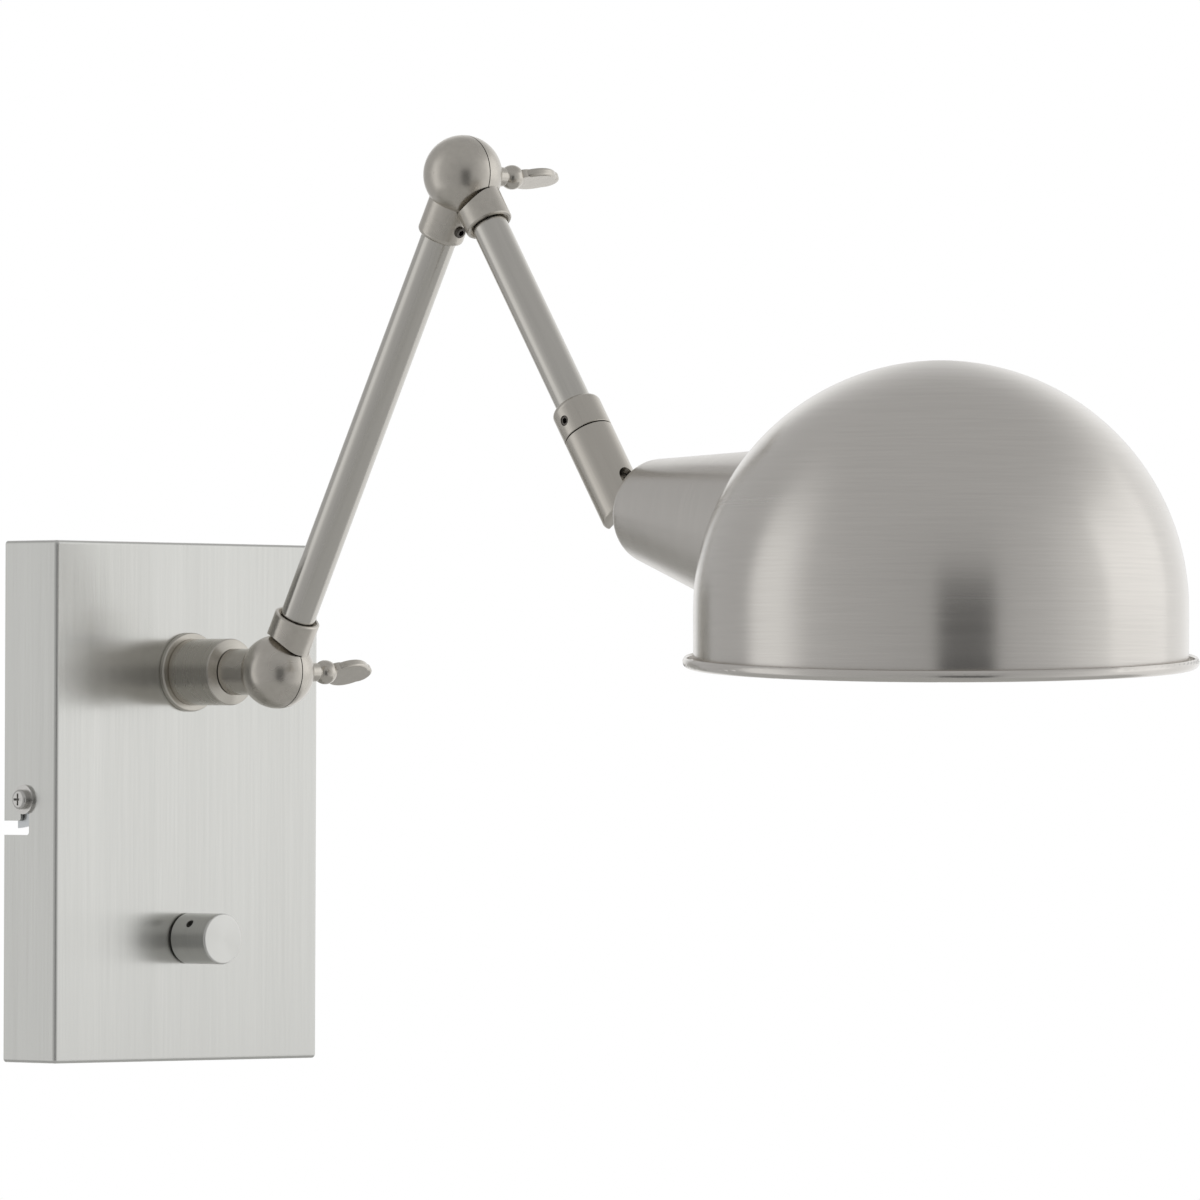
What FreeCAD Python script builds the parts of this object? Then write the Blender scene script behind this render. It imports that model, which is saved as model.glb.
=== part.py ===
import FreeCAD, Part
import Sketcher
import math
import os

os.makedirs("parts", exist_ok=True)
doc = FreeCAD.newDocument("wall_reading_lamp")
Vector = FreeCAD.Vector

# ---------------------------------------------------------------- named sizes, mm and degrees
DRIVING = {
    # canopy, the box on the wall
    "canopy_width": 126.0,
    "canopy_height": 184.0,
    "canopy_depth": 27.0,
    "canopy_sheet": 1.2,
    "canopy_edge_radius": 1.4,
    # bayonet slot in each side of the canopy, and the screw that holds it
    "notch_top": -6.8,
    "notch_bottom": -11.8,
    "slot_width": 4.4,
    "side_screw_height": 0.7,
    "side_screw_depth": 10.8,
    "side_screw_radius": 2.0,
    "side_washer_radius": 5.2,
    "side_washer_thickness": 1.0,
    "side_head_radius": 3.5,
    "side_head_height": 2.4,
    # strap on the wall
    "strap_thickness": 1.6,
    "strap_half_height": 6.5,
    "strap_clearance": 0.3,
    "ear_reach": 16.0,
    "ear_shoulder": 5.5,
    "box_slot_spacing": 79.4,
    "box_slot_length": 14.1,
    "box_slot_width": 4.6,
    "earth_screw_across": 16.0,
    # post
    "post_height": 46.0,
    "flange_radius": 14.0,
    "flange_thickness": 2.0,
    "boss_radius": 8.0,
    "boss_length": 7.0,
    "nipple_radius": 5.0,
    "nipple_bore": 3.5,
    "barrel_radius": 11.8,
    "barrel_end": 49.5,
    "barrel_nose": 50.7,
    "barrel_shoulder": 43.5,
    "spigot_radius": 5.5,
    "spigot_groove_radius": 4.9,
    "clip_radius": 7.3,
    "clip_thickness": 1.0,
    "neck_radius": 8.2,
    "neck_start": 51.1,
    # ball joints
    "lower_ball_reach": 73.4,
    "lower_ball_radius": 13.0,
    "elbow_ball_radius": 13.7,
    "ball_gap": 0.4,
    "ball_shell": 2.5,
    "ball_boss_radius": 5.0,
    "ball_sweep_clearance": 0.5,
    "friction_washer_thickness": 0.9,
    "thumb_shank_radius": 2.5,
    "collar_length": 21.7,
    "lower_collar_radius": 8.2,
    "elbow_collar_radius": 8.35,
    "collar_mouth_radius": 7.1,
    "sleeve_length": 24.4,
    "sleeve_round": 1.9,
    "closed_angle": 59.3,
    # arms
    "tube_radius": 6.25,
    "tube_wall": 1.0,
    "lower_arm_length": 195.5,
    "lower_arm_tilt": 28.5,
    "upper_arm_tilt": 33.84,
    "upper_arm_offset": 1.3,
    # thumb screws
    "thumb_bead_radius": 3.4,
    "thumb_bead_end": 5.5,
    "thumb_groove_end": 6.5,
    "thumb_ball_reach": 10.0,
    "thumb_ball_radius": 4.3,
    "paddle_reach": 20.6,
    "paddle_half_length": 10.5,
    "paddle_half_width": 6.9,
    "paddle_thickness": 3.0,
    "lower_paddle_turn": 32.0,
    "elbow_paddle_turn": 20.0,
    # head sleeve, head knuckle and its hinge
    "head_sleeve_start": 97.5,
    "head_sleeve_radius": 8.7,
    "head_joint": 109.9,
    "head_joint_gap": 0.4,
    "head_spigot_start": 99.0,
    "head_groove_radius": 4.2,
    "head_screw_station": 104.3,
    "knuckle_end": 144.1,
    "knuckle_slot_width": 6.2,
    "knuckle_slot_root": 129.5,
    "pivot_station": 138.8,
    "tongue_thickness": 6.0,
    "tongue_radius": 5.6,
    "pivot_screw_radius": 2.0,
    "head_twist_rest": 4.6,
    "head_tilt_rest": -47.72,
    # cup
    "cup_rear": 10.8,
    "cup_corner_radius": 16.56,
    "cup_half_angle": 10.6,
    "cup_rear_round": 9.1,
    "cup_sheet": 1.2,
    "stud_radius": 4.0,
    # shade
    "shade_radius": 81.8,
    "shade_sheet": 0.9,
    "shade_reach": 163.0,
    "shade_drop": 12.9,
    "shade_tilt": 5.84,
    "skirt_length": 17.6,
    "rim_roll_radius": 2.2,
    "seat_station": 91.2,
    "seat_radius": 24.0,
    # lampholder, E26
    "holder_radius": 19.5,
    "holder_mouth": 98.5,
    "shell_bore": 13.3,
    "shell_sheet": 0.35,
    "shell_depth": 24.5,
    "shell_shoulder": 3.0,
    # dimmer
    "knob_drop": 48.5,
    "knob_radius": 9.0,
    "knob_start": 27.8,
    "knob_end": 45.6,
    "shaft_radius": 3.0,
    "bushing_radius": 4.7,
    "grub_station": 36.0,
    # fits, radial
    "running_fit": 0.05,
    "thread_fit": 0.05,
    "face_fit": 0.05,
}

sheet = doc.addObject("Spreadsheet::Sheet", "dim")
for row, (name, value) in enumerate(DRIVING.items(), 1):
    sheet.set("A%d" % row, name.replace("_", " "))
    sheet.set("B%d" % row, repr(value))
    sheet.setAlias("B%d" % row, name)
doc.recompute()


class Size:
    """A number that carries the sheet formula it comes from."""

    def __init__(self, number, text):
        self.number = float(number)
        self.text = text

    def __add__(self, other):
        other = size(other)
        return Size(self.number + other.number, "(%s + %s)" % (self.text, other.text))

    def __sub__(self, other):
        other = size(other)
        return Size(self.number - other.number, "(%s - %s)" % (self.text, other.text))

    def __mul__(self, other):
        other = size(other)
        return Size(self.number * other.number, "(%s * %s)" % (self.text, other.text))

    def __truediv__(self, other):
        other = size(other)
        return Size(self.number / other.number, "(%s / %s)" % (self.text, other.text))

    def __neg__(self):
        return Size(-self.number, "(0 - %s)" % self.text)

    def __radd__(self, other):
        return size(other) + self

    def __rsub__(self, other):
        return size(other) - self

    def __rmul__(self, other):
        return size(other) * self


def size(value):
    return value if isinstance(value, Size) else Size(value, "(%r)" % float(value))


def root(value):
    return Size(math.sqrt(value.number), "sqrt(%s)" % value.text)


def sine(angle):
    return Size(math.sin(math.radians(angle.number)), "sin(%s)" % angle.text)


def cosine(angle):
    return Size(math.cos(math.radians(angle.number)), "cos(%s)" % angle.text)


class Named:
    """Every driving size by its name in the sheet."""


for name, value in DRIVING.items():
    setattr(Named, name, Size(value, "dim." + name))
d = Named()


# ---------------------------------------------------------------- frames
def frame(name, parent, at, turns):
    """A coordinate frame, moved by `at` and then turned about its own axes in order."""
    axes = {"x": "vector(1;0;0)", "y": "vector(0;1;0)", "z": "vector(0;0;1)"}
    found = doc.addObject("PartDesign::CoordinateSystem", name)
    text = "placement(vector(%s;%s;%s);rotation(vector(1;0;0);0))" % tuple(size(v).text for v in at)
    for axis, angle in turns:
        text += " * placement(vector(0;0;0);rotation(%s;%s))" % (axes[axis], size(angle).text)
    if parent is not None:
        text = "%s.Placement * %s" % (parent.Name, text)
    found.setExpression("Placement", text)
    return found


wall = frame("wall_frame", None, (0, 0, 0), [])
post = frame("post_frame", wall, (0, 0, d.post_height), [("x", 90)])
knob_axis = frame("knob_frame", wall, (0, 0, -d.knob_drop), [("x", 90)])
left_screw = frame("left_screw_frame", wall,
                   (d.canopy_width / -2, -d.side_screw_depth, d.side_screw_height), [("y", -90)])
right_screw = frame("right_screw_frame", wall,
                    (d.canopy_width / 2, -d.side_screw_depth, d.side_screw_height), [("y", 90)])
earth_screw_axis = frame("earth_screw_frame", wall, (d.earth_screw_across, 0, d.side_screw_height), [("x", 90)])
swivel = frame("swivel_frame", wall, (0, -d.lower_ball_reach, d.post_height), [("x", -90)])
lower_arm = frame("lower_arm_frame", wall, (0, -d.lower_ball_reach, d.post_height), [("x", d.lower_arm_tilt)])
elbow = frame("elbow_frame", lower_arm, (0, 0, d.lower_arm_length), [("x", 180)])
upper_ball = frame("upper_ball_frame", lower_arm, (0, 0, d.lower_arm_length),
                   [("x", 180 - d.upper_arm_tilt - d.lower_arm_tilt)])
upper_arm = frame("upper_arm_frame", upper_ball, (d.upper_arm_offset, 0, 0), [])
relief = frame("elbow_relief_frame", upper_ball, (0, 0, 0), [("x", d.closed_angle)])
lower_thumb = frame("lower_thumb_frame", wall, (0, -d.lower_ball_reach, d.post_height),
                    [("x", -90 - d.lower_paddle_turn), ("y", 90)])
elbow_thumb = frame("elbow_thumb_frame", elbow, (0, 0, 0),
                    [("x", -180 - d.lower_arm_tilt - 90 - d.elbow_paddle_turn), ("y", 90)])
head_turn = frame("head_turn_frame", upper_arm, (0, 0, 0), [("z", d.head_twist_rest)])
head = frame("head_frame", head_turn, (0, 0, d.pivot_station), [("x", d.head_tilt_rest)])
dome = frame("dome_frame", head, (0, -d.shade_drop, d.shade_reach), [("x", -90 - d.shade_tilt)])
doc.recompute()


# ---------------------------------------------------------------- drawing helpers
def part_body(label, where):
    made = doc.addObject("PartDesign::Body", label)
    made.Label = label
    made.setExpression("Placement", where.Name + ".Placement")
    return made


def draw(body, role, outlines, shift=(0, 0, 0)):
    """A sketch on an origin plane, each corner tied to the sheet.

    A corner is (x, y), or (x, y, radius, turn) where an arc leads to it, turn 1 for anticlockwise.
    """
    sketch = body.newObject("Sketcher::SketchObject", body.Label + "_sketch")
    plane = [feature for feature in body.Origin.OriginFeatures if feature.Role == role][0]
    sketch.AttachmentSupport = [(plane, "")]
    sketch.MapMode = "FlatFace"
    for axis, value in zip("xyz", shift):
        if isinstance(value, Size):
            sketch.setExpression("AttachmentOffset.Base." + axis, value.text)
    for outline in outlines:
        if outline[0] == "circle":
            add_circle(sketch, *outline[1:])
        elif outline[0] == "oval":
            add_loop(sketch, oval(*outline[1:]))
        else:
            add_loop(sketch, outline)
    return sketch


def tie(sketch, kind, geometry, point, value):
    """Fix one coordinate of a point; a zero is a point on the axis."""
    if not isinstance(value, Size) and value == 0:
        axis = -2 if kind == "DistanceX" else -1
        sketch.addConstraint(Sketcher.Constraint("PointOnObject", geometry, point, axis))
        return
    value = size(value)
    index = sketch.addConstraint(Sketcher.Constraint(kind, -1, 1, geometry, point, value.number))
    sketch.setExpression("Constraints[%d]" % index, value.text)


def add_circle(sketch, x, y, radius):
    centre = Vector(size(x).number, size(y).number, 0)
    index = sketch.addGeometry(Part.Circle(centre, Vector(0, 0, 1), size(radius).number), False)
    tie(sketch, "DistanceX", index, 3, x)
    tie(sketch, "DistanceY", index, 3, y)
    rule = sketch.addConstraint(Sketcher.Constraint("Radius", index, size(radius).number))
    sketch.setExpression("Constraints[%d]" % rule, size(radius).text)


def oval(height, half_x, half_y):
    """An oval of four arcs about the point (0, height): blunt ends and flatter sides."""
    spread = half_x * 0.62
    rise = half_y * 0.66
    side = (spread * spread + (half_y - rise) * (half_y - rise)) / (2 * (half_y - rise))
    end = (rise * rise + (half_x - spread) * (half_x - spread)) / (2 * (half_x - spread))
    return [(spread, height + rise, end, 1), (-spread, height + rise, side, 1),
            (-spread, height - rise, end, 1), (spread, height - rise, side, 1)]


def slot_outline(x, y, half_span, radius):
    """A straight slot with round ends along the first sketch axis."""
    return [(x - half_span, y - radius, radius, 1), (x + half_span, y - radius),
            (x + half_span, y + radius, radius, 1), (x - half_span, y + radius)]


def add_loop(sketch, corners):
    first = sketch.GeometryCount
    count = len(corners)
    spots = [Vector(size(c[0]).number, size(c[1]).number, 0) for c in corners]
    ends = []
    for index in range(count):
        start = spots[index]
        after = corners[(index + 1) % count]
        finish = spots[(index + 1) % count]
        if len(after) == 2:
            sketch.addGeometry(Part.LineSegment(start, finish), False)
            ends.append((1, 2))
            continue
        radius, turn = size(after[2]).number, after[3]
        chord = finish - start
        rise = math.sqrt(max(radius * radius - chord.Length ** 2 / 4, 0.0))
        left = Vector(-chord.y, chord.x, 0).normalize()
        centre = start + chord * 0.5 + left * rise * turn
        circle = Part.Circle(centre, Vector(0, 0, 1), radius)
        from_angle = math.atan2(start.y - centre.y, start.x - centre.x)
        to_angle = math.atan2(finish.y - centre.y, finish.x - centre.x)
        if turn < 0:
            from_angle, to_angle = to_angle, from_angle
        if to_angle <= from_angle:
            to_angle += 2 * math.pi
        sketch.addGeometry(Part.ArcOfCircle(circle, from_angle, to_angle), False)
        ends.append((1, 2) if turn > 0 else (2, 1))
    for index in range(count):
        following = (index + 1) % count
        sketch.addConstraint(Sketcher.Constraint(
            "Coincident", first + index, ends[index][1], first + following, ends[following][0]))
    for index, corner in enumerate(corners):
        tie(sketch, "DistanceX", first + index, ends[index][0], corner[0])
        tie(sketch, "DistanceY", first + index, ends[index][0], corner[1])
        if len(corner) == 4:
            before = first + (index - 1) % count
            chord = spots[index] - spots[(index - 1) % count]
            if abs(chord.Length / 2 - size(corner[2]).number) < 1e-6:
                flat = abs(chord.x) > abs(chord.y)
                tie(sketch, "DistanceY" if flat else "DistanceX", before, 3, corner[1] if flat else corner[0])
                continue
            rule = sketch.addConstraint(Sketcher.Constraint("Radius", before, size(corner[2]).number))
            sketch.setExpression("Constraints[%d]" % rule, size(corner[2]).text)


def turn_up(body, corners, axis="V_Axis", shift=(0, 0, 0), cut=False, role="XZ_Plane", angle=360.0):
    """Turn a closed outline about one sketch axis, to add metal or to take it away."""
    sketch = draw(body, role, [corners], shift)
    kind = "PartDesign::Groove" if cut else "PartDesign::Revolution"
    feature = body.newObject(kind, body.Label + ("_groove" if cut else "_turning"))
    feature.Profile = sketch
    feature.ReferenceAxis = (sketch, [axis])
    feature.Angle = angle
    return feature


def pad(body, role, outlines, length, middle=False, shift=(0, 0, 0), reverse=False):
    sketch = draw(body, role, outlines, shift)
    feature = body.newObject("PartDesign::Pad", body.Label + "_pad")
    feature.Profile = sketch
    feature.setExpression("Length", size(length).text)
    feature.Midplane = middle
    feature.Reversed = reverse
    return feature


def pocket(body, role, outlines, length=None, middle=False, shift=(0, 0, 0), reverse=False):
    sketch = draw(body, role, outlines, shift)
    feature = body.newObject("PartDesign::Pocket", body.Label + "_pocket")
    feature.Profile = sketch
    feature.Midplane = middle
    feature.Reversed = reverse
    if length is None:
        feature.Type = "ThroughAll"
    else:
        feature.setExpression("Length", size(length).text)
    return feature


def soften(body, radius, wanted, kind="PartDesign::Fillet"):
    """Round or bevel the edges whose two ends and middle all pass the test."""
    doc.recompute()
    tip = body.Tip
    shape = tip.Shape
    names = []
    for index, edge in enumerate(shape.Edges, 1):
        spots = [edge.valueAt(edge.FirstParameter + (edge.LastParameter - edge.FirstParameter) * part)
                 for part in (0.02, 0.3, 0.5, 0.98)]
        if all(wanted(spot) for spot in spots):
            names.append("Edge%d" % index)
    feature = body.newObject(kind, body.Label + "_edges")
    feature.Base = (tip, names)
    prop = "Size" if kind == "PartDesign::Chamfer" else "Radius"
    feature.setExpression(prop, size(radius).text)
    doc.recompute()
    return feature


def box_outline(x0, x1, y0, y1):
    return [(x0, y0), (x1, y0), (x1, y1), (x0, y1)]


def near(value, target, slack=0.02):
    return abs(value - target) < slack


NODES = []


def finished(thing, label=None):
    NODES.append(thing)
    if label:
        thing.Label = label
    return thing


def ring(label, where, inner, outer, start, end, angle=360.0):
    """A plain turned ring or washer."""
    body = part_body(label, where)
    turn_up(body, box_outline(inner, outer, start, end), angle=angle)
    return finished(body)


# ---------------------------------------------------------------- canopy and its bracket
half_width = d.canopy_width / 2
half_height = d.canopy_height / 2
canopy = part_body("canopy", wall)
pad(canopy, "XZ_Plane", [box_outline(-half_width, half_width, -half_height, half_height)], d.canopy_depth)
soften(canopy, d.canopy_edge_radius, lambda p: near(p.y, -d.canopy_depth.number) or (
    near(abs(p.x), half_width.number) and near(abs(p.z), half_height.number)))
inner_width = half_width - d.canopy_sheet
inner_height = half_height - d.canopy_sheet
pocket(canopy, "XZ_Plane", [box_outline(-inner_width, inner_width, -inner_height, inner_height)],
       d.canopy_depth - d.canopy_sheet, reverse=True)
slot_half = d.slot_width / 2
slot_front = -(d.side_screw_depth + slot_half)
slot_back = -(d.side_screw_depth - slot_half)
pocket(canopy, "YZ_Plane", [[
    (5, d.notch_bottom), (slot_front, d.notch_bottom), (slot_front, d.side_screw_height),
    (slot_back, d.side_screw_height, slot_half, -1), (slot_back, d.notch_top), (5, d.notch_top)]], middle=True)
pocket(canopy, "XZ_Plane", [
    ("circle", 0, d.post_height, d.nipple_radius + 0.2),
    ("circle", 0, -d.knob_drop, d.bushing_radius + 0.1)], middle=True)
soften(canopy, 1.1, lambda p: abs(p.x) > inner_width.number - 0.01 and (
    (near(p.y, slot_back.number) and near(p.z, d.notch_top.number))
    or (near(p.y, slot_front.number) and near(p.z, d.notch_bottom.number))))
finished(canopy)

strap_half = inner_width - d.strap_clearance
strap_low = d.side_screw_height - d.strap_half_height
strap_high = d.side_screw_height + d.strap_half_height
bracket = part_body("mounting_bracket", wall)
pad(bracket, "XZ_Plane", [box_outline(-strap_half, strap_half, strap_low, strap_high)], d.ear_reach)
pocket(bracket, "XZ_Plane", [box_outline(-strap_half + d.strap_thickness, strap_half - d.strap_thickness,
                                         strap_low - 1, strap_high + 1)],
       d.ear_reach, shift=(0, 0, d.strap_thickness), reverse=True)
for side in (-1, 1):
    pad(bracket, "YZ_Plane", [[
        (-d.ear_shoulder, strap_low - 3.6), (-d.ear_shoulder, strap_high + 3.6),
        (-d.ear_reach, strap_high + 2.2), (-d.ear_reach, strap_low - 2.2)]],
        d.strap_thickness, shift=(0, 0, strap_half * side), reverse=side > 0)
pocket(bracket, "YZ_Plane", [("circle", -d.side_screw_depth, d.side_screw_height,
                              d.side_screw_radius + d.thread_fit)], middle=True)
slot_x = d.box_slot_spacing / 2
slot_reach = (d.box_slot_length - d.box_slot_width) / 2
box_slot_half = d.box_slot_width / 2
slots = [slot_outline(slot_x * side, d.side_screw_height, slot_reach, box_slot_half) for side in (-1, 1)]
pocket(bracket, "XZ_Plane", slots + [("circle", d.earth_screw_across, d.side_screw_height, 2 + d.thread_fit)],
       middle=True)
soften(bracket, 0.8, lambda p: near(abs(p.x), strap_half.number) and near(p.y, 0))
finished(bracket)


def canopy_screw(label, where):
    """Pan head with a cross recess; Z points out of the canopy's side."""
    body = part_body(label, where)
    seat = d.side_washer_thickness + d.face_fit
    top = seat + d.side_head_height
    turn_up(body, [
        (0, -7.5), (d.side_screw_radius - 0.4, -7.5), (d.side_screw_radius, -7.1), (d.side_screw_radius, seat),
        (d.side_head_radius, seat), (d.side_head_radius, top - 1.1),
        (d.side_head_radius - 1.1, top, size(1.1), 1), (0, top)])
    cross = [(-2.1, -0.4), (-0.4, -0.4), (-0.4, -2.1), (0.4, -2.1), (0.4, -0.4), (2.1, -0.4),
             (2.1, 0.4), (0.4, 0.4), (0.4, 2.1), (-0.4, 2.1), (-0.4, 0.4), (-2.1, 0.4)]
    pocket(body, "XY_Plane", [cross], 1.3, shift=(0, 0, top))
    return body


pair = doc.addObject("Part::Compound", "canopy_screws")
pair.Links = [canopy_screw("left_canopy_screw", left_screw), canopy_screw("right_canopy_screw", right_screw)]
finished(pair, "canopy_screws")
rings = []
for label, where in (("left_screw_washer", left_screw), ("right_screw_washer", right_screw)):
    body = part_body(label, where)
    turn_up(body, box_outline(d.side_screw_radius + 0.2, d.side_washer_radius, d.face_fit / 2,
                              d.side_washer_thickness + d.face_fit / 2))
    rings.append(body)
pair = doc.addObject("Part::Compound", "canopy_screw_washers")
pair.Links = rings
finished(pair, "canopy_screw_washers")

earth = part_body("earth_screw", earth_screw_axis)
earth_seat = d.strap_thickness + d.face_fit
turn_up(earth, [(0, 0.1), (2, 0.1), (2, earth_seat), (4, earth_seat), (4, earth_seat + 2.2), (0, earth_seat + 2.2)])
pocket(earth, "XY_Plane", [box_outline(-4.5, 4.5, -0.5, 0.5)], 1.1, shift=(0, 0, earth_seat + 2.2))
finished(earth)

# ---------------------------------------------------------------- post
flange_face = d.canopy_depth + d.face_fit
flange_front = flange_face + d.flange_thickness
boss_end = flange_front + d.boss_length
flange = part_body("post_flange", post)
turn_up(flange, [
    (d.nipple_radius + d.thread_fit, flange_face), (d.flange_radius - 0.3, flange_face),
    (d.flange_radius, flange_face + 0.3), (d.flange_radius, flange_front - 0.6),
    (d.flange_radius - 0.6, flange_front, size(0.6), 1), (d.boss_radius, flange_front),
    (d.boss_radius, boss_end), (d.nipple_radius + d.thread_fit, boss_end)])
finished(flange)

barrel_start = flange_front + d.face_fit
barrel = part_body("post_barrel", post)
turn_up(barrel, [
    (d.boss_radius + d.running_fit, barrel_start), (d.barrel_radius - 0.3, barrel_start),
    (d.barrel_radius, barrel_start + 0.3), (d.barrel_radius, d.barrel_end - 0.3),
    (d.barrel_radius - 0.3, d.barrel_end), (d.neck_radius + 0.1, d.barrel_nose),
    (d.spigot_radius + d.running_fit, d.barrel_nose), (d.spigot_radius + d.running_fit, d.barrel_shoulder),
    (d.boss_radius + d.running_fit, d.barrel_shoulder)])
finished(barrel)

canopy_inside = d.canopy_depth - d.canopy_sheet
washer_back = canopy_inside - 1.05
nut_back = washer_back - 4.05
nipple = part_body("post_nipple", post)
turn_up(nipple, box_outline(d.nipple_bore, d.nipple_radius, nut_back - 2, boss_end - 0.6))
finished(nipple)

lock_washer = part_body("post_lock_washer", post)
turn_up(lock_washer, box_outline(d.nipple_radius + d.thread_fit, 8.5, washer_back, canopy_inside - 0.05))
teeth = [("circle", 8.6 * math.cos(math.radians(30 * k)), 8.6 * math.sin(math.radians(30 * k)), 1.0)
         for k in range(12)]
pocket(lock_washer, "XY_Plane", teeth, middle=True)
finished(lock_washer)


def hexagon(across_flats):
    corner = across_flats / math.sqrt(3)
    return [(corner * math.cos(math.radians(60 * k + 30)), corner * math.sin(math.radians(60 * k + 30)))
            for k in range(6)]


def hex_nut(label, where, across_flats, bore, start, end):
    body = part_body(label, where)
    pad(body, "XY_Plane", [hexagon(across_flats), ("circle", 0, 0, bore)], size(end) - start, shift=(0, 0, size(start)))
    reach = across_flats / math.sqrt(3)
    turn_up(body, [(across_flats / 2 - 0.1, end + 0.5), (reach + 0.5, end + 0.5), (reach + 0.5, end - 0.9)], cut=True)
    return finished(body)


hex_nut("post_lock_nut", post, 14.0, d.nipple_radius + d.thread_fit, nut_back, washer_back - 0.05)

# ---------------------------------------------------------------- dimmer and knob
dimmer = part_body("dimmer_body", knob_axis)
pad(dimmer, "XY_Plane", [box_outline(-15, 15, -13, 13)], 14.0, shift=(0, 0, canopy_inside - 14.05))
turn_up(dimmer, box_outline(0, d.bushing_radius, canopy_inside - 1, d.canopy_depth + 5))
turn_up(dimmer, box_outline(0, d.shaft_radius + d.running_fit, canopy_inside - 9, d.canopy_depth + 6), cut=True)
soften(dimmer, 1.5, lambda p: near(abs(p.x), 15) and near(abs(p.y), 13))
finished(dimmer)
hex_nut("dimmer_nut", knob_axis, 12.0, d.bushing_radius + d.thread_fit, d.canopy_depth + 0.05, d.canopy_depth + 2.2)

shaft_flat = d.shaft_radius - 1.0
grub_turn = 143.13
shaft = part_body("dimmer_shaft", knob_axis)
turn_up(shaft, box_outline(0, d.shaft_radius, canopy_inside - 8.9, d.knob_end - 3))
pocket(shaft, "XY_Plane", [[
    (shaft_flat * -0.8 + 4 * 0.6, shaft_flat * 0.6 + 4 * 0.8), (shaft_flat * -0.8 - 4 * 0.6, shaft_flat * 0.6 - 4 * 0.8),
    (shaft_flat * -0.8 - 4 * 0.6 - 3 * 0.8, shaft_flat * 0.6 - 4 * 0.8 + 3 * 0.6),
    (shaft_flat * -0.8 + 4 * 0.6 - 3 * 0.8, shaft_flat * 0.6 + 4 * 0.8 + 3 * 0.6)]],
    d.knob_end - 3 - d.canopy_depth - 5.5, shift=(0, 0, d.knob_end - 3))
finished(shaft)

knob = part_body("knob_turning", knob_axis)
turn_up(knob, [
    (7.6, d.knob_start), (d.knob_radius - 0.3, d.knob_start), (d.knob_radius, d.knob_start + 0.3),
    (d.knob_radius, d.knob_end - 0.7), (d.knob_radius - 0.7, d.knob_end, size(0.7), 1), (0, d.knob_end),
    (0, d.knob_end - 2.9), (d.shaft_radius + 0.05, d.knob_end - 2.9), (d.shaft_radius + 0.05, d.canopy_depth + 5.3),
    (7.6, d.canopy_depth + 5.3)])
doc.recompute()
grub_axis = frame("grub_frame", knob_axis, (0, 0, d.grub_station), [("z", grub_turn), ("y", 90)])
grub_hole = doc.addObject("Part::Cylinder", "grub_hole")
grub_hole.setExpression("Radius", (1.5 + d.thread_fit).text)
grub_hole.Height = 12
grub_hole.setExpression("Placement", "grub_frame.Placement")
drilled = doc.addObject("Part::Cut", "drilled_knob")
drilled.Base = knob
drilled.Tool = grub_hole
finished(drilled, "dimmer_knob")


def set_screw(label, where, radius, start, end, key):
    """Headless screw along Z with a hexagon socket in its outer end."""
    body = part_body(label, where)
    turn_up(body, [(0, start), (radius - 0.4, start), (radius, start + 0.4), (radius, end - 0.2),
                   (radius - 0.2, end), (0, end)])
    pocket(body, "XY_Plane", [hexagon(key)], 1.6, shift=(0, 0, size(end)))
    return finished(body)


set_screw("knob_set_screw", grub_axis, size(1.5), shaft_flat + 0.05, shaft_flat + 4.5, 1.5)


# ---------------------------------------------------------------- ball joints
def ball_half(label, where, side, radius, stem, bore, shift):
    """One half of a ball joint with its stem along Z; the hinge is the X axis.

    Side -1 is the half with the thread, side 1 the half that the thumb screw passes through.
    """
    body = part_body(label, where)
    face = d.ball_gap / 2
    boss_face = d.friction_washer_thickness / 2 + d.face_fit
    boss = d.ball_boss_radius
    hollow = radius - d.ball_shell
    clear = radius + d.ball_sweep_clearance
    edge = root(radius * radius - face * face)
    inner_edge = root(hollow * hollow - face * face)
    boss_root = root(hollow * hollow - boss * boss)
    hole = d.thumb_shank_radius + d.thread_fit
    # shell, boss and the thumb screw's hole, turned about the hinge
    if side > 0:
        seat = d.thumb_bead_radius + 0.45
        pole = root(radius * radius - seat * seat)
        outline = [(face, inner_edge, hollow, 1), (face, edge), (pole, seat, radius, -1), (pole, hole),
                   (boss_face, hole), (boss_face, boss), (boss_root, boss)]
    else:
        hole_end = 1.2 - hollow
        outline = [(-face, inner_edge, hollow, -1), (-face, edge), (-radius, 0, radius, 1), (hole_end, 0),
                   (hole_end, hole), (-boss_face, hole), (-boss_face, boss), (-boss_root, boss)]
    turn_up(body, outline, "H_Axis")
    # stem, then the room for the other half and the hollow, then the bore
    turn_up(body, stem, shift=(shift, 0, 0))
    reach = d.elbow_collar_radius + 3
    turn_up(body, [
        (-side * reach, 0), (side * boss_face, 0), (side * boss_face, boss), (side * boss_root, boss),
        (side * face, inner_edge, hollow, side), (side * face, clear), (-side * reach, clear)], "H_Axis", cut=True)
    turn_up(body, bore, shift=(shift, 0, 0), cut=True)
    return body


def collar(radius):
    return [(0, 6), (radius, 6), (radius, d.collar_length - 0.4), (radius - 0.4, d.collar_length),
            (0, d.collar_length)]


def collar_bore(floor):
    fit = d.tube_radius + d.face_fit
    return [(0, 5.2), (4.5, 5.2), (4.5, floor), (fit, floor), (fit, d.collar_length - 1.2),
            (d.collar_mouth_radius, d.collar_length - 1.2), (d.collar_mouth_radius, d.collar_length + 1),
            (0, d.collar_length + 1)]


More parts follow.
